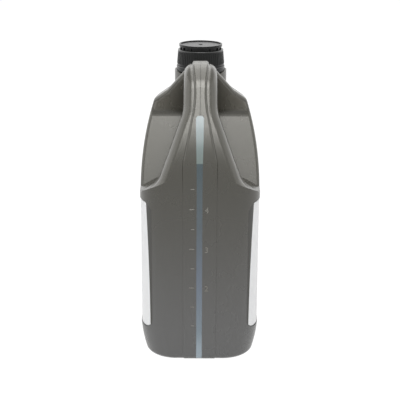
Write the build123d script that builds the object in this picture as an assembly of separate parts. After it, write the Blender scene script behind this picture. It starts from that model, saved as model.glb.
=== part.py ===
from build123d import *
from math import atan2, cos, degrees, radians, sin, sqrt, tan
import os

# Motor oil bottle for five quarts, in millimetres. X runs through the thickness, Y along the width with the
# handle end at -Y, and Z up. The origin is under the middle of the base.

# Trunk
width = 214.0
thickness = 120.5
trunk_height = 165.0
side_bow = 1.5
end_flat = 49.0
corner_loss = 0.5
corner_limit = 0.9
base_radius = 6.0
foot_height = 36.0
foot_draw = 6.5
foot_steps = 3
wall = 1.3
pushup_margin = 17.0
pushup_height = 3.0
pushup_taper = 30.0

# Shoulder and roof above the trunk: the top falls away from the handle
shoulder_rise = 83.0
eave_tilt = 9.0
side_draw = 14.0
end_draw = 12.0
eave_radius = 5.0
roof_pitch = 35.0
roof_run = 22.0
shoulder_steps = 4

# Gable that rises from the roof to the top of the handle, ahead of the neck
gable_half = 10.0
gable_pitch = 48.0

# Handle bar seen from the end: the flare stands on the trunk, the bar's neck is near the eave
bar_top_half = 15.5
bar_neck_half = 16.5
bar_neck_over_eave = 2.0
bar_neck_blend = 36.0
flare_half = 41.0
flare_over_trunk = 18.0
flare_blend = 22.0
flare_foot_fall = 34.0

# Handle bar seen from the side: up the spine, leaning back, over the apex and down to the neck
bar_depth = 28.0
bar_lean = 20.0
bend_over_trunk = 38.0
bend_radius = 180.0
apex_over_eave = 43.7
apex_radius = 28.0
bar_back_fall = 43.0
bar_edge_radius = 9.0

# Pockets on both sides of the bar, and the finger hole between them
pocket_depth = 71.0
pocket_foot_depth = 46.0
crease_under_eave = 8.0
crease_radius = 12.0
pocket_rim_depth = 50.0
rim_over_eave = 39.0
rim_radius = 3.0
hole_under_apex = 28.7
hole_blend = 8.0
floor_middle_rise = 21.0
floor_edge_rise = 3.0

# Raised panel down the handle and the spine: low on the spine, crowned on the handle
panel_height = 1.0
panel_crown = 2.8
panel_root = 3.0
panel_edge_radius = 2.4
panel_low_half = 17.0
panel_low_over_trunk = 40.0
panel_low_blend = 40.0
panel_waist_half = 4.6
panel_waist_over_eave = 18.0
panel_waist_blend = 120.0
panel_top_half = 8.0

# Label recess and labels
label_foot = 30.0
label_head = 2.0
label_end = 8.0
label_corner = 10.0
recess_depth = 1.0
label_film = 0.25
label_margin = 1.0
label_gap = 0.03

# Neck and collar: the collar's rim dips towards the handle and away from it
neck_y = 8.0
neck_radius = 20.3
bore_radius = 18.3
neck_height = 23.3
collar_radius = 26.6
collar_wall = 1.3
collar_over_eave = 22.0
collar_lip = 6.0
collar_dip = 6.0
bead_radius = 22.0
bead_over_collar = 6.2
bead_height = 2.2

# Tamper band
band_radius = 25.0
band_top_radius = 24.4
band_foot_radius = 23.2
band_height = 9.6
band_bore = 22.35
band_clearance = 0.3
hook_radius = 20.9
hook_height = 2.6

# Cap and its liner
slit = 0.4
skirt_low_radius = 24.1
skirt_top_radius = 22.8
skirt_bore = 22.3
cap_plate = 1.6
cap_wall = 1.6
groove_radius = 19.6
groove_height = 3.2
disc_radius = 22.0
disc_plate = 1.5
disc_rim = 1.0
disc_rim_width = 1.6
skirt_rib_count = 60
skirt_rib_width = 0.9
skirt_rib_reach = 0.35
skirt_rib_margin = 1.8
groove_rib_count = 12
groove_rib_width = 1.2
groove_rib_reach = 1.4
liner_thickness = 1.1
liner_clearance = 0.05
liner_side_clearance = 0.2

# Oil, up to the level seen behind the stripe
oil_over_trunk = 37.0
oil_clearance = 0.3

corner_radius = (thickness - end_flat) / 2 - side_bow
front_y = -width / 2
eave_z = trunk_height + shoulder_rise
bend_z = trunk_height + bend_over_trunk
apex_z = eave_z + apex_over_eave
crease_z = eave_z - crease_under_eave
rim_z = eave_z + rim_over_eave
hole_z = apex_z - hole_under_apex
collar_z = eave_z + collar_over_eave
neck_top = collar_z + neck_height
band_low = collar_z + band_clearance
band_high = band_low + band_height
cap_low = band_high + slit
ceiling = neck_top + liner_thickness + 2 * liner_clearance
overhang = (pocket_depth - pocket_rim_depth) / (rim_z - crease_z)
hole_back_y = front_y + pocket_depth + wall
overhang_y = hole_back_y - (hole_z - crease_z) * overhang
bar_end_y = neck_y - collar_radius / 2
lean_run = (apex_z - apex_radius - bend_z) * tan(radians(bar_lean))
apex_y = front_y + lean_run + apex_radius / cos(radians(bar_lean))
reach = width
tall = apex_z + apex_radius
touch = 0.02


def plan_outline(draw_x, draw_y, inset):
    """Section of the body from above: flat ends, bowed sides and round corners, drawn in by inset."""
    half_x = thickness / 2 - draw_x
    half_y = width / 2 - draw_y
    corner_x = half_x - side_bow
    right = ThreePointArc((corner_x, -half_y), (half_x, 0), (corner_x, half_y))
    back = Line((corner_x, half_y), (-corner_x, half_y))
    left = ThreePointArc((-corner_x, half_y), (-half_x, 0), (-corner_x, -half_y))
    front = Line((-corner_x, -half_y), (corner_x, -half_y))
    outline = make_face([right, back, left, front])
    radius = min(corner_radius - corner_loss * draw_x, corner_limit * corner_x)
    outline = fillet(outline.vertices(), radius)
    return offset(outline, amount=-inset) if inset else outline


def from_side(outline):
    """Prism through the whole thickness, from an outline in Y and Z."""
    return extrude(Plane.YZ * outline, amount=reach, both=True)


def from_end(outline):
    """Prism along the whole width, from an outline in X and Z."""
    return extrude(Plane.XZ * outline, amount=reach, both=True)


def grown(outline, amount):
    """Outline moved out by amount, or in where it is negative."""
    return offset(outline, amount=amount, kind=Kind.INTERSECTION) if amount else outline


def two_sided(half):
    """Face between a line on the +X side and its mirror image, closed across both ends."""
    low = half @ 0
    high = half @ 1
    across_low = Line((low.X, low.Y), (-low.X, low.Y))
    across_high = Line((high.X, high.Y), (-high.X, high.Y))
    return make_face([half, mirror(half, about=Plane.YZ), across_low, across_high])


def foot_section(step, inset):
    """Section of the foot: its sides draw in towards the base, from step 1 down to 0."""
    draw = foot_draw * (1 - step) ** 2
    return Pos(0, 0, step * foot_height) * plan_outline(draw, 0, inset)


def trunk(inset):
    """Straight part of the body, with its drawn-in foot and its rounded and pushed-up base."""
    foot = loft([foot_section(i / foot_steps, inset) for i in range(foot_steps + 1)])
    block = foot + extrude(foot_section(1, inset), amount=trunk_height - inset - foot_height)
    block = fillet(block.edges().group_by(Axis.Z)[0], base_radius - inset)
    push = extrude(
        plan_outline(pushup_margin, pushup_margin, -inset), amount=pushup_height, taper=pushup_taper
    )
    return Pos(0, 0, inset) * (block - push)


def shoulder_section(step, inset):
    """Section of the shoulder: its plane tilts and its sides draw in along an arc, from step 0 to 1."""
    arc_radius = (shoulder_rise**2 + side_draw**2) / (2 * side_draw)
    draw = arc_radius - sqrt(arc_radius**2 - (step * shoulder_rise) ** 2)
    tilt = radians(eave_tilt * step)
    plane = Plane(
        origin=(0, 0, trunk_height + step * (shoulder_rise - inset)),
        x_dir=(1, 0, 0),
        z_dir=(0, sin(tilt), cos(tilt)),
    )
    return plane * plan_outline(draw, draw * end_draw / side_draw, inset)


def roof_section(inset):
    """Flat top of the roof, above the eave by the run at the roof's pitch."""
    tilt = radians(eave_tilt)
    rise = roof_run * tan(radians(roof_pitch))
    plane = Plane(
        origin=(0, rise * sin(tilt), eave_z - inset + rise * cos(tilt)),
        x_dir=(1, 0, 0),
        z_dir=(0, sin(tilt), cos(tilt)),
    )
    return plane * plan_outline(side_draw + roof_run, end_draw + roof_run, inset)


def shoulder(inset):
    """Shoulder and roof, with the eave between them rounded."""
    sections = [shoulder_section(i / shoulder_steps, inset) for i in range(shoulder_steps + 1)]
    roof = loft([sections[-1], roof_section(inset)], ruled=True)
    top = loft(sections) + roof
    eave = sections[-1].wire()
    eave_edges = [edge for edge in top.edges() if eave.distance_to(edge @ 0.5) < touch]
    return fillet(eave_edges, eave_radius - inset)


def gable(inset):
    """Steep gable on the roof, along its tilt, falling back from the handle's apex towards the neck."""
    tilt = radians(eave_tilt)
    rise = (apex_z - eave_z) * cos(tilt) + apex_y * sin(tilt)
    foot_half = gable_half + rise / tan(radians(gable_pitch))
    outline = grown(two_sided(Line((foot_half, 0), (gable_half, rise))), -inset)
    plane = Plane(origin=(0, 0, eave_z), x_dir=(-1, 0, 0), z_dir=(0, cos(tilt), -sin(tilt)))
    ridge = grown(ridge_outline(0, 0), -inset)
    return extrude(plane * outline, amount=reach, both=True) & from_side(ridge)


def pocket_outline(inset):
    """Everything in front of the pockets' back wall and above their foot, from the side."""
    back = front_y + pocket_depth
    foot = front_y + pocket_foot_depth
    rim = front_y + pocket_rim_depth
    line = FilletPolyline(
        (front_y - reach, trunk_height),
        (foot, trunk_height),
        (back, crease_z),
        (rim, rim_z),
        (rim, tall),
        (front_y - reach, tall),
        radius=[0, 0, crease_radius, 0, 0, 0],
        close=True,
    )
    return grown(make_face(line), inset)


def bar_outline_end(inset):
    """Bell outline of the bar from the end: narrow at the top, flaring into the spine."""
    flare_z = trunk_height + flare_over_trunk
    foot_run = thickness / 2
    foot_x = flare_half + foot_run
    foot_z = flare_z - foot_run * tan(radians(flare_foot_fall))
    half = FilletPolyline(
        (bar_top_half, tall),
        (bar_neck_half, eave_z + bar_neck_over_eave),
        (flare_half, flare_z),
        (foot_x, foot_z),
        radius=[bar_neck_blend, flare_blend],
    )
    return grown(two_sided(half), -inset)


def ridge_outline(spine_out, crown_out):
    """Outline of the handle from the side, moved out by one amount on the spine and another above it."""
    lean = radians(bar_lean)
    fall = radians(bar_back_fall)
    spine_y = front_y - spine_out
    bend_up = (crown_out - spine_out * cos(lean)) / sin(lean)
    radius = apex_radius + crown_out
    centre_z = apex_z - apex_radius
    run_to_corner = radius * tan((radians(90) - lean + fall) / 2)
    corner_y = apex_y - radius * cos(lean) + run_to_corner * sin(lean)
    corner_z = centre_z + radius * sin(lean) + run_to_corner * cos(lean)
    line = FilletPolyline(
        (spine_y, 0),
        (spine_y, bend_z + bend_up),
        (corner_y, corner_z),
        (bar_end_y, corner_z - (bar_end_y - corner_y) * tan(fall)),
        (bar_end_y, 0),
        radius=[0, bend_radius, radius, 0, 0],
        close=True,
    )
    return make_face(line)


def hole_outline(inset):
    """Outline of the space behind the bar, from the side: its front follows the bar, its back is open."""
    inner_y = front_y + bar_depth
    top_y = inner_y + (hole_z - bend_z) * tan(radians(bar_lean))
    line = FilletPolyline(
        (inner_y, 0),
        (inner_y, bend_z),
        (top_y, hole_z),
        (overhang_y, hole_z),
        (hole_back_y, crease_z),
        (hole_back_y, bend_z),
        (reach, bend_z),
        (reach, 0),
        radius=[0, bend_radius, hole_blend, 0, 0, 0, 0, 0],
        close=True,
    )
    return grown(make_face(line), inset)


def edges_along(shape, outline, back_y):
    """Edges that follow an outline seen from the side, in front of back_y, without those across X."""
    line = (Plane.YZ * outline).wire()
    chosen = []
    for edge in shape.edges():
        points = [edge @ share for share in (0.2, 0.5, 0.8)]
        follows = all(line.distance_to(Vector(0, point.Y, point.Z)) < touch for point in points)
        across = abs((edge % 0.5).X) > 1 - touch
        if follows and not across and points[1].Y < back_y - touch:
            chosen.append(edge)
    return ShapeList(chosen)


def pocket_floor(inset):
    """Saddle between the bar and the pockets' back wall, arched across the thickness."""
    half = thickness / 2
    low = trunk_height - inset
    edge_z = trunk_height + floor_edge_rise - inset
    middle_z = trunk_height + floor_middle_rise - inset
    arc = ThreePointArc((-half, edge_z), (0, middle_z), (half, edge_z))
    sides = Polyline((half, edge_z), (half, low), (-half, low), (-half, edge_z))
    start = front_y + bar_depth / 2
    end = front_y + pocket_depth
    span = Pos((start + end) / 2, tall / 2) * Rectangle(end - start, tall)
    return from_end(make_face([arc, sides])) & from_side(span)


def handle(inset):
    """Bar, flare and pocket floor, with rounded edges, trimmed to the body's plan."""
    ridge = grown(ridge_outline(0, 0), -inset)
    bar = from_end(bar_outline_end(inset)) & from_side(ridge)
    bar -= from_side(hole_outline(inset))
    bar = fillet(edges_along(bar, ridge, bar_end_y - inset), bar_edge_radius - inset)
    bar = fillet(edges_along(bar, hole_outline(inset), overhang_y), bar_edge_radius - inset)
    trim = extrude(plan_outline(0, 0, inset), amount=tall)
    return (bar + pocket_floor(inset)) & Pos(0, 0, trunk_height - inset) * trim


def label_outline(margin):
    """Outline of the label from the side, inside the recess by margin."""
    high = trunk_height - label_head
    plate = RectangleRounded(
        width - 2 * (label_end + margin), high - label_foot - 2 * margin, label_corner - margin
    )
    return Pos(0, (label_foot + high) / 2) * plate


def label_layer(outside, inside, margin):
    """Layer round the trunk between two depths, cut to the label's outline."""
    layer = extrude(plan_outline(0, 0, outside), amount=tall)
    layer -= extrude(plan_outline(0, 0, inside), amount=tall)
    return layer & from_side(label_outline(margin))


def bottle_form(inset):
    """The blown shape without its neck: the outside at inset 0, the cavity at the wall's thickness."""
    body = trunk(inset) + shoulder(inset) + gable(inset)
    body -= from_side(pocket_outline(inset))
    rim = edges_along(body, pocket_outline(inset), neck_y)
    rim = rim.filter_by(lambda edge: edge.center().Z > trunk_height)
    body = fillet(rim, rim_radius - inset)
    body += handle(inset)
    return body - label_layer(inset - wall, inset + recess_depth, -inset)


def panel():
    """Raised panel with rounded sides: up the spine, narrowing, then fanning out over the handle."""
    waist_z = eave_z + panel_waist_over_eave
    fan = (panel_top_half - panel_waist_half) / (apex_z - waist_z)
    half = FilletPolyline(
        (panel_low_half, -reach),
        (panel_low_half, trunk_height + panel_low_over_trunk),
        (panel_waist_half, waist_z),
        (panel_waist_half + fan * (tall - waist_z), tall),
        radius=[panel_low_blend, panel_waist_blend],
    )
    ridge = ridge_outline(panel_height, panel_crown)
    above = Pos(0, (trunk_height + tall) / 2) * Rectangle(2 * reach, tall - trunk_height)
    ahead = Pos(bar_end_y - panel_root - reach, 0) * Rectangle(2 * reach, 4 * tall)
    upper = from_side((ridge - grown(ridge_outline(0, 0), -panel_root)) & above & ahead)
    lower = extrude(plan_outline(0, 0, -panel_height), amount=trunk_height)
    lower = fillet(lower.edges().group_by(Axis.Z)[0], base_radius)
    lower &= Pos(0, front_y, 0) * Box(width, 2 * base_radius, 2 * trunk_height)
    strip = from_end(two_sided(half)) & (upper + lower)
    sides = edges_along(strip, ridge, bar_end_y)
    return fillet(sides, panel_edge_radius)


def ring(outer_radius, inner_radius, low, high):
    """Ring about the neck's axis."""
    tube = Cylinder(outer_radius, high - low) - Cylinder(inner_radius, high - low)
    return Pos(0, neck_y, (low + high) / 2) * tube


def post(radius, low, high):
    """Cylinder on the neck's axis."""
    return Pos(0, neck_y, (low + high) / 2) * Cylinder(radius, high - low)


def turned(points):
    """Solid turned about the neck's axis from a closed profile of radius and height."""
    profile = make_face(Polyline(*points, close=True))
    return Pos(0, neck_y, 0) * revolve(Plane.XZ * profile, axis=Axis.Z)


def around_neck(piece, count):
    """Copies of a piece, evenly spaced about the neck's axis."""
    return [Pos(0, neck_y, 0) * Rot(0, 0, i * 360 / count) * piece for i in range(count)]


def collar():
    """Collar round the band, with a rim that is high at the sides and dips along the width."""
    lip_z = collar_z + collar_lip
    dip_z = lip_z - collar_dip
    low_y = neck_y - collar_radius
    high_y = neck_y + collar_radius
    rim = ThreePointArc((low_y, dip_z), (neck_y, lip_z), (high_y, dip_z))
    sides = Polyline((high_y, dip_z), (high_y, 0), (low_y, 0), (low_y, dip_z))
    lip = ring(collar_radius, collar_radius - collar_wall, eave_z, lip_z)
    return post(collar_radius, eave_z, collar_z) + (lip & from_side(make_face([rim, sides])))


def bottle_body():
    """Blown bottle: outside, panel, collar and neck, less the cavity and the bore."""
    bead_low = collar_z + bead_over_collar
    outside = bottle_form(0) + panel() + collar()
    outside += post(neck_radius, eave_z, neck_top) + post(bead_radius, bead_low, bead_low + bead_height)
    cavity = bottle_form(wall) + post(collar_radius - wall, eave_z, collar_z - wall)
    return outside - cavity - post(bore_radius, eave_z, neck_top)


def screw_cap():
    """Cap: tapered ribbed skirt, shoulder, groove with its ribs, and a dished disc."""
    shoulder_z = ceiling + cap_plate
    disc_low = shoulder_z + groove_height
    disc_top = disc_low + disc_plate
    rim_inner = disc_radius - disc_rim_width
    dome_radius = groove_radius - cap_wall
    cap = turned(
        [
            (skirt_bore, cap_low),
            (skirt_low_radius, cap_low),
            (skirt_top_radius, shoulder_z),
            (groove_radius, shoulder_z),
            (groove_radius, disc_low),
            (disc_radius, disc_low),
            (disc_radius, disc_top + disc_rim),
            (rim_inner, disc_top + disc_rim),
            (rim_inner, disc_top),
            (0, disc_top),
            (0, disc_low),
            (dome_radius, disc_low),
            (dome_radius, ceiling),
            (skirt_bore, ceiling),
        ]
    )
    skirt_height = shoulder_z - cap_low
    draft = degrees(atan2(skirt_low_radius - skirt_top_radius, skirt_height))
    middle = Pos((skirt_low_radius + skirt_top_radius) / 2, 0, cap_low + skirt_height / 2)
    rib_height = skirt_height - 2 * skirt_rib_margin
    skirt_rib = middle * Rot(0, -draft, 0) * Box(2 * skirt_rib_reach, skirt_rib_width, rib_height)
    groove_rib = Box(2 * groove_rib_reach, groove_rib_width, groove_height)
    groove_rib = Pos(groove_radius, 0, shoulder_z + groove_height / 2) * groove_rib
    return cap + around_neck(skirt_rib, skirt_rib_count) + around_neck(groove_rib, groove_rib_count)


def tamper_band():
    """Band that stays on the neck below the cap, held under the neck's bead by its inner hook."""
    return turned(
        [
            (hook_radius, band_low),
            (band_foot_radius, band_low),
            (band_radius, (band_low + band_high) / 2),
            (band_top_radius, band_high),
            (band_bore, band_high),
            (band_bore, band_low + hook_height),
            (hook_radius, band_low + hook_height),
        ]
    )


def cap_liner():
    """Sealing disc between the neck's lip and the cap."""
    low = neck_top + liner_clearance
    return post(skirt_bore - liner_side_clearance, low, low + liner_thickness)


def oil_fill():
    """Oil in the body and the lower handle, up to the level behind the stripe."""
    level = trunk_height + oil_over_trunk
    below_level = Pos(0, 0, level / 2) * Box(2 * reach, 2 * reach, level)
    return bottle_form(wall + oil_clearance) & below_level


labels = label_layer(recess_depth - label_gap - label_film, recess_depth - label_gap, label_margin)
pieces = {
    "bottle_body": bottle_body(),
    "screw_cap": screw_cap(),
    "tamper_band": tamper_band(),
    "cap_liner": cap_liner(),
    "front_label": labels.solids().sort_by(Axis.X)[-1],
    "back_label": labels.solids().sort_by(Axis.X)[0],
    "oil_fill": oil_fill(),
}

# The panel stands proud at one end only, so the pieces move by half of that to centre the whole on the origin
to_centre = Pos(0, panel_height / 2, 0)
os.makedirs("parts", exist_ok=True)
for name, piece in pieces.items():
    export_step(to_centre * piece, f"parts/{name}.step")
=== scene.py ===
from math import pi, radians

import bpy
import numpy as np
from mathutils import Euler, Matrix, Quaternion, Vector


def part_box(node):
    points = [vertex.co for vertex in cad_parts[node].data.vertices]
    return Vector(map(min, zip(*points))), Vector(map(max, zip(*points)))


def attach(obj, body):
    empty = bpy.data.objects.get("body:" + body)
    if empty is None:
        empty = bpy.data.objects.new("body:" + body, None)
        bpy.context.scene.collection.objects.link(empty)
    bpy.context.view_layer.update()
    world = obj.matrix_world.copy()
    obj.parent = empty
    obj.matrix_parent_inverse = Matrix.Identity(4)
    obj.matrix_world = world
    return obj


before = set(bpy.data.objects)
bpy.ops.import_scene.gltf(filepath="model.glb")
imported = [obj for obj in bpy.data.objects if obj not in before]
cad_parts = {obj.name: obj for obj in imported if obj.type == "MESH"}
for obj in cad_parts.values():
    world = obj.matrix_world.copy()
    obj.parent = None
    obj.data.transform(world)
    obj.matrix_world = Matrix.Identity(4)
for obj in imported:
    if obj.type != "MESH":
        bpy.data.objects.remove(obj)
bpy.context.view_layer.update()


# Bottle body: one hollow blown piece of pearl-grey polyethylene, with its handle, collar and threaded neck.
# The two mould halves leave a fine parting line round the middle, and a clear strip of the same plastic is
# blown into the spine and the handle, so that the oil level shows through it.

def feed(socket, value):
    """Links the value to the socket where it is an output of a node, and else sets it there."""
    if isinstance(value, bpy.types.NodeSocket):
        socket.id_data.links.new(value, socket)
    else:
        socket.default_value = value


def put(tree, kind, **inputs):
    """Adds a node, and feeds each of its named inputs."""
    node = tree.nodes.new(kind)
    for name, value in inputs.items():
        feed(node.inputs[name.replace("_", " ")], value)
    return node


def calc(tree, operation, *values):
    """One step of arithmetic between sockets and numbers."""
    node = tree.nodes.new("ShaderNodeMath")
    node.operation = operation
    for socket, value in zip(node.inputs, values):
        feed(socket, value)
    return node.outputs[0]


def product(tree, first, *others):
    """All the values multiplied together."""
    for value in others:
        first = calc(tree, "MULTIPLY", first, value)
    return first


def ramp(tree, value, start, end, low=0.0, high=1.0):
    """Smooth step from low to high while value goes from start to end."""
    node = put(tree, "ShaderNodeMapRange", Value=value, From_Min=start, From_Max=end, To_Min=low, To_Max=high)
    node.interpolation_type = "SMOOTHSTEP"
    return node.outputs["Result"]


def mixed(tree, share, first, second):
    """Colour between first and second, by share. The node has a set of sockets for each kind of value, with
    the same names, so the colour ones are found by their places."""
    node = tree.nodes.new("ShaderNodeMix")
    node.data_type = "RGBA"
    for place, value in ((0, share), (6, first), (7, second)):
        feed(node.inputs[place], value)
    return node.outputs[2]


def colour_steps(tree, value, steps):
    """Colour that passes through the given steps, each a place from 0 to 1 and its colour."""
    node = put(tree, "ShaderNodeValToRGB", Fac=value)
    stops = node.color_ramp.elements
    stops.remove(stops[1])
    stops[0].position, stops[0].color = steps[0]
    for place, colour in steps[1:]:
        stops.new(place).color = colour
    return node.outputs["Color"]


def new_finish(name):
    """Material with one Principled shader, and the object coordinates split into X, Y and Z."""
    material = bpy.data.materials.new(name)
    material.use_nodes = True
    tree = material.node_tree
    shader = tree.nodes["Principled BSDF"]
    place = tree.nodes.new("ShaderNodeTexCoord")
    axes = put(tree, "ShaderNodeSeparateXYZ", Vector=place.outputs["Object"])
    return material, tree, shader, place, axes.outputs


def dress(shader, colour, roughness, height=None, depth=0.0):
    """Feeds the shader its colour and roughness, and bumps of the given depth where there is a height."""
    feed(shader.inputs["Base Color"], colour)
    feed(shader.inputs["Roughness"], roughness)
    if height is not None:
        bump = put(shader.id_data, "ShaderNodeBump", Strength=1.0, Distance=depth, Height=height)
        feed(shader.inputs["Normal"], bump.outputs[0])


def moulded_skin_group():
    """Skin of moulded plastic: cloudy pigment, drawn streaks, and a fine dimpled surface."""
    tree = bpy.data.node_groups.new("moulded_skin", "ShaderNodeTree")
    for name, kind in (("Position", "NodeSocketVector"), ("Colour", "NodeSocketColor"),
                       ("Cloud", "NodeSocketFloat"), ("Roughness", "NodeSocketFloat")):
        tree.interface.new_socket(name, in_out="INPUT", socket_type=kind)
    for name, kind in (("Colour", "NodeSocketColor"), ("Roughness", "NodeSocketFloat"),
                       ("Height", "NodeSocketFloat")):
        tree.interface.new_socket(name, in_out="OUTPUT", socket_type=kind)
    given = tree.nodes.new("NodeGroupInput").outputs
    result = tree.nodes.new("NodeGroupOutput").inputs
    streak_share, middle, rough_share, grain_share = 0.3, 0.65, 0.05, 0.35
    cloud = put(tree, "ShaderNodeTexNoise", Vector=given["Position"], Scale=22.0, Detail=3.0)
    drawn = put(tree, "ShaderNodeMapping", Vector=given["Position"], Scale=(160.0, 160.0, 9.0))
    streak = put(tree, "ShaderNodeTexNoise", Vector=drawn.outputs[0], Scale=1.0, Detail=2.0)
    dimple = put(tree, "ShaderNodeTexNoise", Vector=given["Position"], Scale=520.0, Detail=2.0)
    grain = put(tree, "ShaderNodeTexNoise", Vector=given["Position"], Scale=2600.0, Detail=1.0)
    uneven = calc(tree, "ADD", cloud.outputs[0], product(tree, streak.outputs[0], streak_share))
    uneven = calc(tree, "SUBTRACT", uneven, middle)
    shade = calc(tree, "ADD", 1.0, product(tree, uneven, given["Cloud"]))
    colour = put(tree, "ShaderNodeVectorMath", Vector=given["Colour"])
    colour.operation = "SCALE"
    feed(colour.inputs["Scale"], shade)
    feed(result["Colour"], colour.outputs[0])
    feed(result["Roughness"], calc(tree, "ADD", given["Roughness"], product(tree, uneven, rough_share)))
    feed(result["Height"], calc(tree, "ADD", dimple.outputs[0], product(tree, grain.outputs[0], grain_share)))
    return tree


moulded_skin = moulded_skin_group()


def skin(tree, place, colour, cloud, roughness):
    """Places the moulded skin group with this finish's own values."""
    node = tree.nodes.new("ShaderNodeGroup")
    node.node_tree = moulded_skin
    for name, value in (("Position", place.outputs["Object"]), ("Colour", colour), ("Cloud", cloud),
                        ("Roughness", roughness)):
        feed(node.inputs[name], value)
    return node.outputs


strip_top = 0.2487


def strip_mask(tree, axis, normal, off_strip):
    """One where the clear strip is: on the outer faces that look to the handle end, where the distance from
    its middle is under a half width that grows up the handle and draws in again at the rounded end."""
    widening_z, low_half, high_half = 0.185, 0.0028, 0.0038
    round_below, round_above, drawn_in = 0.0022, 0.0006, 0.0016
    side_edge, end_edge, back_edge = 0.0004, 0.0008, 0.001
    strip_back_y, turned_away, turned_to_end = -0.0625, -0.25, -0.45
    widened = ramp(tree, axis["Z"], widening_z, strip_top, low_half, high_half)
    rounded = ramp(tree, axis["Z"], strip_top - round_below, strip_top + round_above, 0.0, drawn_in)
    past_half = calc(tree, "SUBTRACT", off_strip, calc(tree, "SUBTRACT", widened, rounded))
    inside = ramp(tree, past_half, side_edge, -side_edge)
    facing = ramp(tree, normal["Y"], turned_away, turned_to_end)
    below = ramp(tree, axis["Z"], strip_top + end_edge, strip_top - end_edge)
    outer = ramp(tree, axis["Y"], strip_back_y + back_edge, strip_back_y - back_edge)
    return product(tree, inside, facing, below, outer)


def strip_shades(tree, axis):
    """Colour of the clear strip by height: blue-grey with the oil behind it, painted lighter towards the foot
    as painted light from the floor, and pale over the level, painted paler towards its top as painted light.
    """
    # Painted light: over the oil the strip is painted lighter towards the foot, for the light from the floor,
    # and over the level paler towards its top.
    oil_and_painted_light_steps = ((0.0, (0.28, 0.34, 0.39, 1)), (0.13, (0.125, 0.165, 0.20, 1)),
                 (0.33, (0.082, 0.108, 0.15, 1)), (0.56, (0.041, 0.062, 0.081, 1)),
                 (0.80, (0.022, 0.044, 0.056, 1)))
    dry_low = (0.12, 0.158, 0.152, 1)
    dry_high = (0.205, 0.255, 0.275, 1)
    meniscus_rise, level_edge = 0.0029, 0.0006
    oil_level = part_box("oil_fill")[1].z + meniscus_rise
    wet = colour_steps(tree, calc(tree, "DIVIDE", axis["Z"], strip_top), oil_and_painted_light_steps)
    dry = mixed(tree, ramp(tree, axis["Z"], oil_level, strip_top), dry_low, dry_high)
    over_level = ramp(tree, axis["Z"], oil_level - level_edge, oil_level + level_edge)
    return mixed(tree, over_level, wet, dry)


def bottle_finish():
    """Pearl grey, painted paler towards the foot as painted light from the floor, with the clear strip and
    the parting line. Faces that look down from under the roof are painted paler towards the edge, as painted
    light for the light that comes through the wall there."""
    material, tree, shader, place, axis = new_finish("pearl_grey_polyethylene")
    upper_grey = (0.021, 0.0195, 0.0135, 1)
    # Painted light: the grey at the foot is paler, for the light that the floor throws up.
    painted_light_foot_grey = (0.068, 0.069, 0.072, 1)
    # Painted light: paler grey for the light that comes through the wall under the roof.
    painted_lit_through_grey = (0.130, 0.123, 0.104, 1)
    seam_grey = (0.012, 0.0115, 0.009, 1)
    warm_sheen = (1.0, 0.987, 0.935, 1)
    normal = put(tree, "ShaderNodeSeparateXYZ", Vector=place.outputs["Normal"]).outputs

    strip_x, strip_gloss = -0.0004, 0.14
    off_strip = calc(tree, "ABSOLUTE", calc(tree, "SUBTRACT", axis["X"], strip_x))
    strip = strip_mask(tree, axis, normal, off_strip)

    seam_core, seam_half, seam_share = 0.0001, 0.00045, 0.5
    seam_line = ramp(tree, calc(tree, "ABSOLUTE", axis["X"]), seam_half, seam_core)
    seam = product(tree, seam_line, calc(tree, "SUBTRACT", 1.0, strip))

    roof_low, roof_high, upright, turned_down = 0.195, 0.215, -0.05, -0.45
    bar_side, bottle_edge, share_at_bar = 0.014, 0.050, 0.38
    looks_down = ramp(tree, normal["Z"], upright, turned_down)
    under_roof = product(tree, looks_down, ramp(tree, axis["Z"], roof_low, roof_high))
    towards_edge = ramp(tree, off_strip, bar_side, bottle_edge, low=share_at_bar)

    foot_z, upper_z, skin_depth, seam_depth = -0.02, 0.21, 0.00004, 0.00012
    # Painted light: the grey is painted paler towards the foot, for the light that the floor throws up.
    grey = mixed(tree, ramp(tree, axis["Z"], foot_z, upper_z), painted_light_foot_grey, upper_grey)
    # Painted light: faces that look down under the roof are painted paler towards the edge.
    grey = mixed(tree, product(tree, under_roof, towards_edge), grey, painted_lit_through_grey)
    grey = mixed(tree, product(tree, seam, seam_share), grey, seam_grey)
    colour = mixed(tree, strip, grey, strip_shades(tree, axis))
    surface = skin(tree, place, colour, cloud=0.05, roughness=0.27)
    rough = calc(tree, "SUBTRACT", surface["Roughness"], product(tree, strip, strip_gloss))
    height = product(tree, surface["Height"], skin_depth)
    height = calc(tree, "SUBTRACT", height, product(tree, seam, seam_depth))
    dress(shader, surface["Colour"], rough, height, depth=1.0)
    shader.inputs["Specular IOR Level"].default_value = 0.95
    shader.inputs["Specular Tint"].default_value = warm_sheen
    return material


pearl_grey_finish = bottle_finish()
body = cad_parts["bottle_body"]
body.material_slots[0].material = pearl_grey_finish


# Contents scale: short bars and plain numerals that the mould leaves standing on the spine beside the strip.
# They are the bottle's own plastic, painted paler as a painted highlight, with rounded ends, and their
# backs are sunk in the panel.

def mesh_piece(name, points, faces, material, body_name):
    """Smooth mesh at the origin from its points and faces, riding on a body."""
    mesh = bpy.data.meshes.new(name)
    mesh.from_pydata(points.tolist(), [], faces.tolist())
    mesh.polygons.foreach_set("use_smooth", np.ones(len(mesh.polygons), bool))
    mesh.materials.append(material)
    piece = bpy.data.objects.new(name, mesh)
    bpy.context.scene.collection.objects.link(piece)
    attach(piece, body_name)


def grid_faces(rows, columns, wrap_rows=False, wrap_columns=False):
    """Quads of a grid of rows by columns, closed round either way where asked."""
    row, column = np.meshgrid(np.arange(rows - (not wrap_rows)), np.arange(columns - (not wrap_columns)),
                              indexing="ij")
    next_row, next_column = (row + 1) % rows, (column + 1) % columns
    corners = (row * columns + column, row * columns + next_column,
               next_row * columns + next_column, next_row * columns + column)
    return np.stack([corner.ravel() for corner in corners], axis=1)


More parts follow.
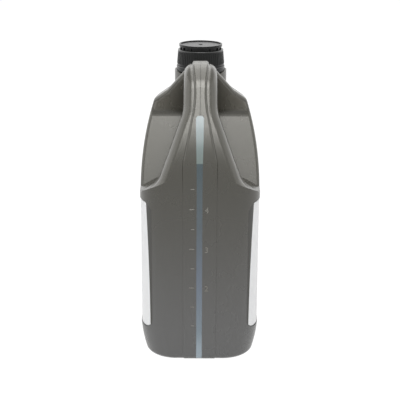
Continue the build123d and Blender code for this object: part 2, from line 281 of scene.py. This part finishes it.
def raised_bars(centres_x, centres_z, half_lengths, half_height, proud, root, face_y):
    """Bars lying along X: over each bar, t round its outline and s from rim to middle; the outline is a
    superellipse of power 6 in X and 2.4 in Z, and the bar stands proud by the root of 1 - s squared."""
    around, rings = 40, 7
    power_x, power_z = 6, 2.4
    t = np.linspace(0, 2 * pi, around, endpoint=False)
    s = np.linspace(1, 0, rings)
    outline_x = np.sign(np.cos(t)) * np.abs(np.cos(t)) ** (2 / power_x)
    outline_z = np.sign(np.sin(t)) * np.abs(np.sin(t)) ** (2 / power_z)
    bars, faces = [], []
    for x, z, half in zip(centres_x, centres_z, half_lengths):
        inset = half - (1 - s) * half_height
        grid_x = x + inset[:, None] * outline_x
        grid_z = z + (s * half_height)[:, None] * outline_z
        grid_y = face_y + root - np.sqrt(1 - s**2)[:, None] * (proud + root) + 0 * grid_x
        faces.append(grid_faces(rings, around, wrap_columns=True) + len(bars) * rings * around)
        bars.append(np.stack([grid_x, grid_y, grid_z], axis=-1).reshape(-1, 3))
    return np.concatenate(bars), np.concatenate(faces)[:, ::-1]


def mark_finish():
    """The bottle's plastic, painted paler as a painted highlight where the marks stand proud and catch the
    light.
    """
    material, tree, shader, place, axis = new_finish("scale_marks_painted_highlight")
    # Painted highlight: the marks' grey is paler than the bottle's, for the light that they catch.
    highlight_painted_grey = (0.145, 0.14, 0.125, 1)
    surface = skin(tree, place, highlight_painted_grey, cloud=0.2, roughness=0.3)
    dress(shader, surface["Colour"], surface["Roughness"])
    return material


highlight_painted_marks = mark_finish()
panel_face_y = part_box("bottle_body")[0].y
mark_proud = 0.0004
unit_step = 0.0406
lowest_unit = 0.0380
half_units = np.arange(8)
bar_heights = lowest_unit + unit_step / 2 * half_units
long_bar = (half_units % 2 == 0) & (half_units > 0)
bar_halves = np.where(long_bar, 0.00275, 0.0019)
bar_ends = -0.0052
bar_points, bar_faces = raised_bars(bar_ends - bar_halves, bar_heights, bar_halves, half_height=0.0005,
                                    proud=mark_proud, root=0.0002, face_y=panel_face_y)
mesh_piece("scale_bars", bar_points, bar_faces, highlight_painted_marks, "bottle")


def raised_numeral(text, x, z, height, proud):
    """Numeral with rounded edges, standing on the spine and facing the handle end."""
    numeral_share = 0.7
    letter = bpy.data.curves.new("numeral_line", "FONT")
    letter.body = text
    letter.size = height / numeral_share
    letter.align_x = "CENTER"
    letter.extrude = proud / 2
    letter.bevel_depth = 0.00012
    letter.bevel_resolution = 2
    letter.resolution_u = 6
    holder = bpy.data.objects.new("numeral_line", letter)
    mesh = bpy.data.meshes.new_from_object(holder)
    bpy.data.objects.remove(holder)
    flat = np.empty(len(mesh.vertices) * 3, np.float32)
    mesh.vertices.foreach_get("co", flat)
    flat = flat.reshape(-1, 3)
    placed = np.stack([x + flat[:, 0], panel_face_y - flat[:, 2], z - height / 2 + flat[:, 1]], axis=1)
    mesh.vertices.foreach_set("co", placed.astype(np.float32).ravel())
    mesh.materials.clear()
    mesh.materials.append(highlight_painted_marks)
    piece = bpy.data.objects.new(f"scale_numeral_{text}", mesh)
    bpy.context.scene.collection.objects.link(piece)
    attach(piece, "bottle")


numeral_x = 0.0066
numeral_drop = 0.0006
for units in (2, 3, 4):
    numeral_z = lowest_unit + (units - 1) * unit_step - numeral_drop
    raised_numeral(str(units), numeral_x, numeral_z, height=0.0056, proud=mark_proud)


# Oil: clear amber engine oil, poured in through the neck. It fills the body and the foot of the handle up to
# the level that is seen through the strip.

def oil_finish():
    """Amber liquid, a little darker towards the bottom."""
    material, tree, shader, place, axis = new_finish("amber_oil")
    deep_amber = (0.30, 0.15, 0.025, 1)
    bright_amber = (0.46, 0.26, 0.06, 1)
    oil_depth = 0.2
    dress(shader, mixed(tree, ramp(tree, axis["Z"], 0.0, oil_depth), deep_amber, bright_amber), 0.08)
    shader.inputs["IOR"].default_value = 1.47
    return material


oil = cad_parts["oil_fill"]
oil.material_slots[0].material = oil_finish()


# Labels: printed film pressed into the recess of each wide face, wrapping round the corners to both ends.
# The print is plain fields of colour on a pale silver ground.

def label_finish():
    """Silver-white film with a charcoal field, a thin amber line and a drop, drawn in Y and Z. At a share r
    of its height the drop's girth is the root of r times 1 - r. Past its slanted end the film is clear."""
    material, tree, shader, place, axis = new_finish("silver_label_film")
    silver = (0.67, 0.675, 0.68, 1)
    charcoal = (0.045, 0.049, 0.054, 1)
    amber = (0.72, 0.30, 0.03, 1)
    grey_under = (0.042, 0.041, 0.036, 1)
    print_edge = 0.0002
    off_y = calc(tree, "ABSOLUTE", axis["Y"])

    field_half_y, field_low, field_high = 0.074, 0.058, 0.118
    across = ramp(tree, off_y, field_half_y + print_edge, field_half_y - print_edge)
    over_low = ramp(tree, axis["Z"], field_low - print_edge, field_low + print_edge)
    under_high = ramp(tree, axis["Z"], field_high + print_edge, field_high - print_edge)
    field = product(tree, across, over_low, under_high)

    line_drop, line_core, line_half = 0.005, 0.0009, 0.0013
    off_line = calc(tree, "ABSOLUTE", calc(tree, "SUBTRACT", axis["Z"], field_low - line_drop))
    line = product(tree, across, ramp(tree, off_line, line_half, line_core))

    drop_low, drop_height, drop_half, girth_scale = 0.0695, 0.0370, 0.0122, 2.6
    rise = calc(tree, "DIVIDE", calc(tree, "SUBTRACT", axis["Z"], drop_low), drop_height)
    rise = calc(tree, "MINIMUM", calc(tree, "MAXIMUM", rise, 0.0), 1.0)
    girth = product(tree, calc(tree, "SQRT", rise), calc(tree, "SUBTRACT", 1.0, rise))
    inside_drop = calc(tree, "SUBTRACT", product(tree, girth, girth_scale * drop_half), off_y)
    drop = ramp(tree, inside_drop, 0.0, print_edge)

    end_y, end_slant, label_top, slant_power, end_edge = 0.0957, 0.0042, 0.162, 2.5, 0.0001
    rise_share = calc(tree, "POWER", calc(tree, "DIVIDE", axis["Z"], label_top), slant_power)
    past_end = calc(tree, "ADD", calc(tree, "SUBTRACT", off_y, end_y), product(tree, rise_share, end_slant))
    clear_end = ramp(tree, past_end, -end_edge, end_edge)

    colour = mixed(tree, field, silver, charcoal)
    colour = mixed(tree, calc(tree, "MAXIMUM", line, drop), colour, amber)
    colour = mixed(tree, clear_end, colour, grey_under)
    surface = skin(tree, place, colour, cloud=0.03, roughness=0.30)
    dress(shader, surface["Colour"], surface["Roughness"], surface["Height"], depth=0.00001)
    return material


silver_film = label_finish()
for side in ("front_label", "back_label"):
    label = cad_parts[side]
    label.material_slots[0].material = silver_film


# Neck thread: a single rounded thread of the bottle's own plastic, a turn and a half up the neck under the
# cap. It is formed with the neck, and its ends run out into the wall.

neck_axis = Vector((0, 0.0085))


def thread_tube(neck_radius, crest, half_width, low_z, lead, turns):
    """Profile carried up a helix: at angle a the height is low plus lead times a over a full turn, and the
    profile is a cosine to the power 0.8, of height crest, which fades out over the last tenth of each end."""
    steps, across = 240, 13
    root, fade_share, fullness = 0.0006, 0.1, 0.8
    along = np.linspace(0, 1, steps)
    angle = along * turns * 2 * pi
    fade = np.clip(np.minimum(along, 1 - along) / fade_share, 0, 1)
    fade = fade * fade * (3 - 2 * fade)
    v = np.linspace(-1, 1, across)
    radius = neck_radius - root + (crest * fade[:, None] + root) * np.cos(v * pi / 2) ** fullness
    height = low_z + lead * turns * along[:, None] + v * half_width
    points = np.stack([neck_axis.x + radius * np.cos(angle)[:, None],
                       neck_axis.y + radius * np.sin(angle)[:, None], height], axis=-1)
    return points.reshape(-1, 3), grid_faces(steps, across)


thread_points, thread_faces = thread_tube(neck_radius=0.0203, crest=0.0015, half_width=0.0013, low_z=0.2818,
                                          lead=0.006, turns=1.5)
mesh_piece("neck_thread", thread_points, thread_faces, pearl_grey_finish, "bottle")


# Tamper band: a ring of black polypropylene that snaps under the neck's bead and stays there when the cap is
# first unscrewed. Its bridges to the cap are taken as cut, which leaves a fine slit over its smooth top edge.

def black_finish(name, gloss):
    """Satin black polypropylene, with its gloss at the given level."""
    material, tree, shader, place, axis = new_finish(name)
    black = (0.008, 0.0088, 0.0083, 1)
    surface = skin(tree, place, black, cloud=0.25, roughness=0.32)
    dress(shader, surface["Colour"], surface["Roughness"], surface["Height"], depth=0.00003)
    shader.inputs["Specular IOR Level"].default_value = gloss
    return material


satin_black = black_finish("satin_black_polypropylene", gloss=0.22)
smooth_black = black_finish("smooth_black_polypropylene", gloss=0.7)
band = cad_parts["tamper_band"]
band.material_slots[0].material = satin_black


def edge_bead(radius, thickness, height):
    """Thin rounded bead about the neck's axis: angle a round the axis, and b round the bead's section."""
    around, section = 144, 16
    a = np.linspace(0, 2 * pi, around, endpoint=False)[:, None]
    b = np.linspace(0, 2 * pi, section, endpoint=False)
    reach = radius + thickness * np.cos(b)
    points = np.stack([neck_axis.x + reach * np.cos(a), neck_axis.y + reach * np.sin(a),
                       height + thickness * np.sin(b) + 0 * a], axis=-1)
    return points.reshape(-1, 3), grid_faces(around, section, wrap_rows=True, wrap_columns=True)


band_edge = 0.0006
band_edge_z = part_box("tamper_band")[1].z - band_edge
edge_points, edge_faces = edge_bead(radius=0.0241, thickness=band_edge, height=band_edge_z)
mesh_piece("band_edge_bead", edge_points, edge_faces, smooth_black, "bottle")


# Liner: a white disc of foamed polyethylene, cut from sheet and pressed into the cap. It rises with the cap
# and seals on the neck's lip.

def foam_finish():
    """Off-white foam with fine cells."""
    material, tree, shader, place, axis = new_finish("white_liner_foam")
    cell_wall = (0.70, 0.70, 0.67, 1)
    cell_middle = (0.80, 0.80, 0.77, 1)
    cells = put(tree, "ShaderNodeTexVoronoi", Vector=place.outputs["Object"], Scale=1400.0)
    distance = cells.outputs["Distance"]
    dress(shader, mixed(tree, distance, cell_wall, cell_middle), 0.7, distance, depth=0.0001)
    return material


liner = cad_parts["cap_liner"]
liner.material_slots[0].material = foam_finish()


# Screw cap: moulded in black polypropylene with a ribbed skirt, and a dished disc on top of a ribbed groove.
# A fine bead runs round its shoulder, and the mould's gate leaves a small ring in the middle of the disc.

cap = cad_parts["screw_cap"]
cap.material_slots[0].material = satin_black

bead_points, bead_faces = edge_bead(radius=0.0225, thickness=0.0008, height=0.2957)
mesh_piece("cap_shoulder_bead", bead_points, bead_faces, smooth_black, "cap")

disc_dish = 0.0010
disc_face_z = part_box("screw_cap")[1].z - disc_dish
gate_points, gate_faces = edge_bead(radius=0.0017, thickness=0.00035, height=disc_face_z)
mesh_piece("cap_gate_mark", gate_points, gate_faces, satin_black, "cap")


# Stage: a pale floor and a white surround. Soft boxes light the object from high and low in front, from
# overhead and behind it, from low behind and from each side, with one behind each side for the rims.

def direct_rays(tree, path):
    """One for the rays that come straight from the camera, or by way of a glossy or clear surface."""
    mirrored = calc(tree, "MAXIMUM", path["Is Glossy Ray"], path["Is Transmission Ray"])
    return calc(tree, "MAXIMUM", path["Is Camera Ray"], mirrored)


def floor_finish():
    """Pale floor that the camera sees as paper white, and that shows as nearly white in the plastic."""
    material, tree, shader, place, axis = new_finish("white_floor")
    pale, paper_glow, glow_share = (0.9, 0.9, 0.9, 1), 1.09, 0.9
    dress(shader, pale, 0.7)
    path = tree.nodes.new("ShaderNodeLightPath").outputs
    strength = ramp(tree, path["Is Camera Ray"], 0.0, 1.0, low=1.0, high=paper_glow)
    glow = put(tree, "ShaderNodeEmission", Color=(1, 1, 1, 1), Strength=strength)
    blend = tree.nodes.new("ShaderNodeMixShader")
    share = product(tree, direct_rays(tree, path), glow_share)
    for socket, part in zip(blend.inputs, (share, shader.outputs[0], glow.outputs[0])):
        feed(socket, part)
    feed(tree.nodes["Material Output"].inputs["Surface"], blend.outputs[0])
    return material


floor_mesh = bpy.data.meshes.new("floor")
floor_half = 8.0
floor_mesh.from_pydata([(-floor_half, -floor_half, 0), (floor_half, -floor_half, 0),
                        (floor_half, floor_half, 0), (-floor_half, floor_half, 0)], [], [(0, 1, 2, 3)])
floor_mesh.materials.append(floor_finish())
floor = bpy.data.objects.new("floor", floor_mesh)
bpy.context.scene.collection.objects.link(floor)


def soft_light(name, place, target, size, power):
    """Rectangular soft light at a place, facing a target."""
    light = bpy.data.lights.new(name, "AREA")
    light.shape = "RECTANGLE"
    light.size, light.size_y = size
    light.energy = power
    lamp = bpy.data.objects.new(name, light)
    lamp.location = place
    lamp.rotation_euler = (Vector(target) - Vector(place)).to_track_quat("-Z", "Y").to_euler()
    bpy.context.scene.collection.objects.link(lamp)


handle = (0, -0.06, 0.22)
soft_light("front_light", (0, -1.15, 1.22), handle, size=(0.85, 0.75), power=12.5)
soft_light("low_front_light", (0, -1.45, 0.78), handle, size=(0.9, 0.35), power=1.5)
soft_light("overhead_light", (0, -0.07, 1.35), (0, -0.07, 0.2), size=(0.9, 1.15), power=7.0)
soft_light("rear_top_light", (0, 0.75, 1.2), (0, -0.05, 0.27), size=(0.9, 0.75), power=4.4)
soft_light("back_light", (0, 1.4, 0.72), (0, 0, 0.28), size=(1.5, 0.75), power=1.8)
soft_light("left_light", (-1.15, -0.3, 0.7), (0, 0, 0.2), size=(1.6, 0.9), power=4.5)
soft_light("right_light", (1.15, -0.3, 0.7), (0, 0, 0.2), size=(1.6, 0.9), power=3.0)
soft_light("left_rim_light", (-1.0, 0.75, 0.5), (0, 0, 0.17), size=(1.4, 0.9), power=3.2)
soft_light("right_rim_light", (1.0, 0.75, 0.5), (0, 0, 0.17), size=(1.4, 0.9), power=3.2)

world = bpy.data.worlds.new("white_surround")
bpy.context.scene.world = world
world.use_nodes = True
sky = world.node_tree
surround = sky.nodes["Background"]
surround.inputs["Color"].default_value = (1, 1, 1, 1)
ambient = 0.24
sky_path = sky.nodes.new("ShaderNodeLightPath").outputs
feed(surround.inputs["Strength"], ramp(sky, direct_rays(sky, sky_path), 0.0, 1.0, low=ambient))

photo_width = 400
focal_pixels = 1031
camera_pitch = 17.5
camera_roll = 0.27
camera_data = bpy.data.cameras.new("camera")
camera_data.sensor_width = 36
camera_data.lens = focal_pixels / photo_width * camera_data.sensor_width
camera = bpy.data.objects.new("camera", camera_data)
camera.location = (0, -1.0505, 0.467)
level = Euler((radians(90 - camera_pitch), 0, 0)).to_quaternion()
camera.rotation_mode = "QUATERNION"
camera.rotation_quaternion = level @ Quaternion((0, 0, 1), radians(camera_roll))
bpy.context.scene.collection.objects.link(camera)
bpy.context.scene.camera = camera
bpy.context.scene.view_settings.view_transform = "Standard"
